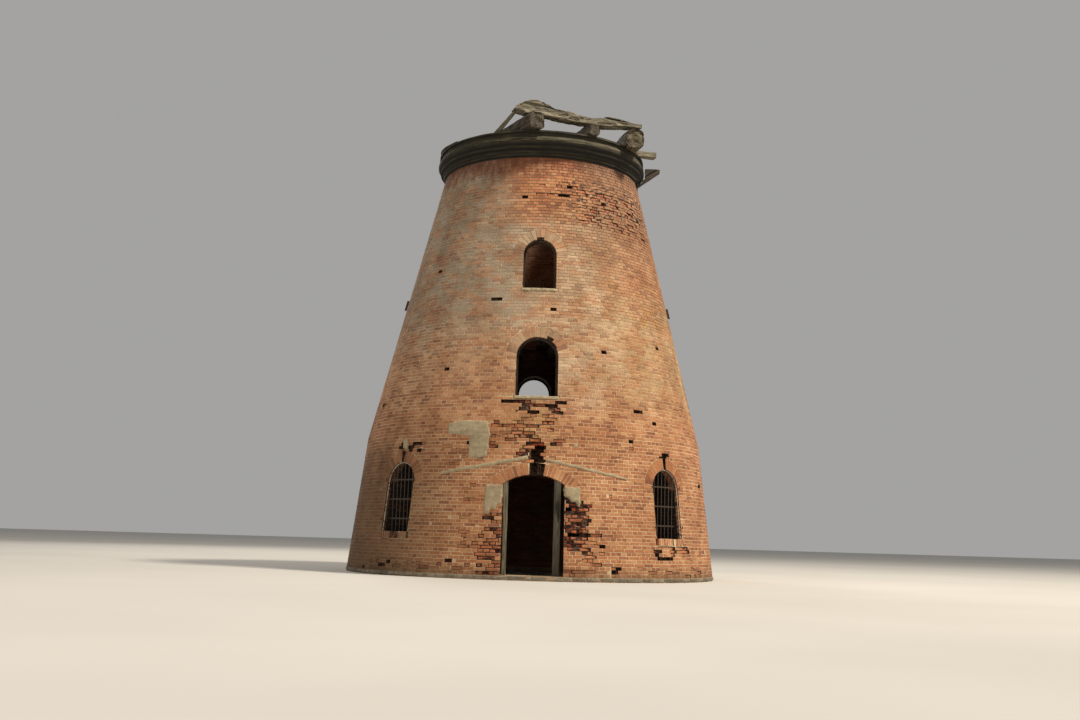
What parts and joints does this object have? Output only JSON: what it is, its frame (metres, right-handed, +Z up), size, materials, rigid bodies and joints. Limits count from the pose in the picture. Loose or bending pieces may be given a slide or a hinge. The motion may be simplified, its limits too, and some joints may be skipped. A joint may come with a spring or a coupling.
{
  "type": "brick tower windmill without its cap",
  "caption": "Round, tapering brick tower of a windmill that has lost its cap and sails, with arched door and windows, wooden cornice rings and old timbers across the open top.",
  "frame": {"origin": "on the tower's axis at ground level", "axes": "+Z up along the tower's axis, -Y towards the front with the doorway, +X to the right of someone facing the doorway"},
  "size_m": [8.99, 8.9896, 11.2203],
  "materials": {
    "fieldstone": "rough split stone in lime mortar",
    "old_brick": "weathered red brick with pale lime mortar",
    "arch_brick": "weathered red brick on edge",
    "sill_stone": "pale worn stone",
    "grey_timber": "grey weathered oak with deep cracks",
    "dark_timber": "dark old timber",
    "floor_timber": "dusty unpainted softwood",
    "cornice_timber": "dark mossy timber with pale lichen",
    "wrought_iron": "rusty wrought iron"
  },
  "bodies": {
    "root": {"foundation": "fieldstone", "ground_wall_front": "old_brick", "ground_wall_front_right": "old_brick", "ground_wall_right": "old_brick", "ground_wall_back_right": "old_brick", "ground_wall_back": "old_brick", "ground_wall_back_left": "old_brick", "ground_wall_left": "old_brick", "ground_wall_front_left": "old_brick", "first_wall_front": "old_brick", "first_wall_right": "old_brick", "first_wall_back": "old_brick", "first_wall_left": "old_brick", "second_wall_front": "old_brick", "second_wall_right": "old_brick", "second_wall_back": "old_brick", "second_wall_left": "old_brick", "front_door_arch": "arch_brick", "ground_window_arches": "arch_brick", "first_window_arches": "arch_brick", "second_window_arches": "arch_brick", "ground_window_sills": "arch_brick", "first_window_sills": "sill_stone", "second_window_sills": "sill_stone", "front_door_posts": "grey_timber", "first_window_frames": "dark_timber", "second_window_frames": "dark_timber", "first_floor_beams": "floor_timber", "first_floor_planks": "floor_timber", "second_floor_beams": "floor_timber", "second_floor_planks": "floor_timber", "cornice_lower_ring": "cornice_timber", "cornice_upper_ring": "cornice_timber", "left_cap_timber": "grey_timber", "middle_cap_timber": "grey_timber", "right_cap_timber": "grey_timber", "weather_beam": "grey_timber", "cap_strut": "grey_timber", "plank_stub": "grey_timber", "bracket_stub": "grey_timber", "wall_anchors": "wrought_iron"}
  },
  "joints": []
}
